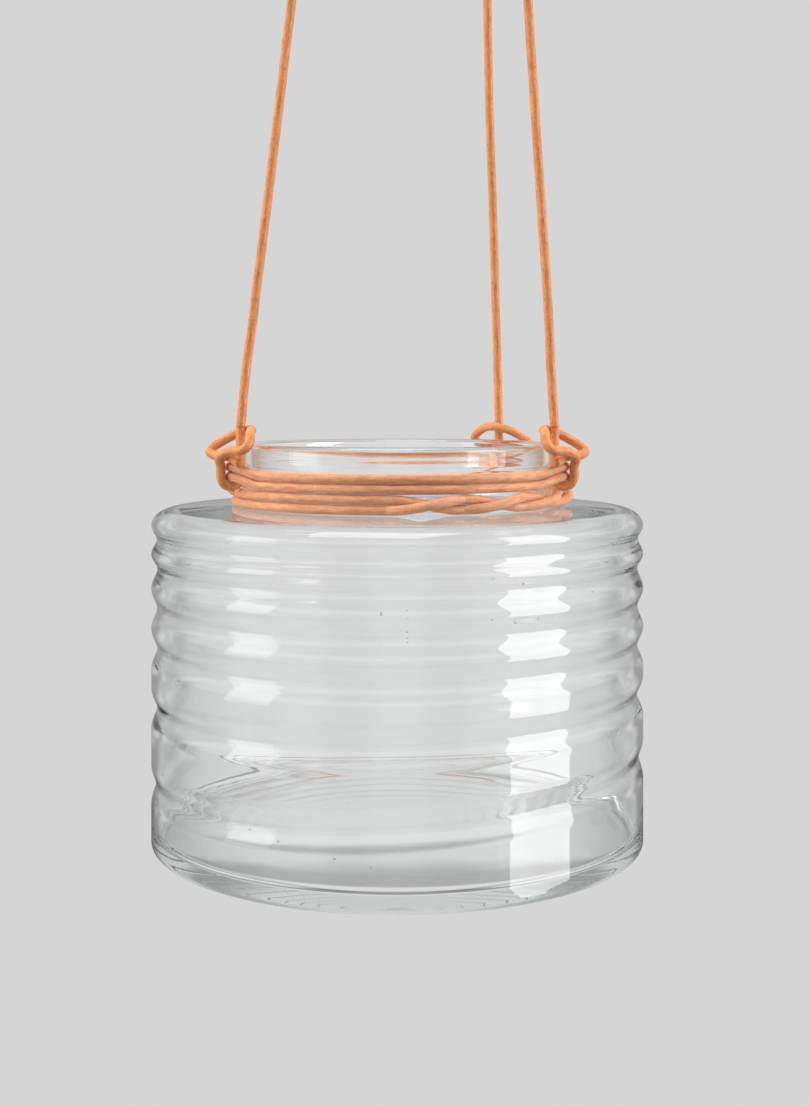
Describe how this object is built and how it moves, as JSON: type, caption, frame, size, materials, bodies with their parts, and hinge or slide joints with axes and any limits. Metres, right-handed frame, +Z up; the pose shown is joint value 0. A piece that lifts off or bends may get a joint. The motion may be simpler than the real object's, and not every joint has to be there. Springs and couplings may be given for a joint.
{
  "type": "hanging glass vase",
  "caption": "Wide ribbed clear glass vase with a narrower open neck, hung on leather cords that are tied to a leather cord wound round the neck.",
  "frame": {"origin": "centre of the vase, in the plane of the ring that it stands on", "axes": "+Z up along the vase's axis, -Y towards the front of the picture, +X to its right"},
  "size_m": [0.18, 0.18, 0.363],
  "materials": {
    "glass": "clear blown glass, smooth, with a few small bubbles",
    "neck_leather": "round tan leather cord, satin, lightly worn",
    "cord_leather": "round tan leather cord, satin, with a darker worn stripe"
  },
  "bodies": {
    "root": {"glass_vase": "glass", "neck_cord": "neck_leather", "cord_left": "cord_leather", "cord_right": "cord_leather", "cord_back": "cord_leather", "hitch_left": "cord_leather", "hitch_right": "cord_leather", "hitch_back": "cord_leather", "loop_left": "cord_leather", "loop_right": "cord_leather", "loop_back": "cord_leather"}
  },
  "joints": []
}
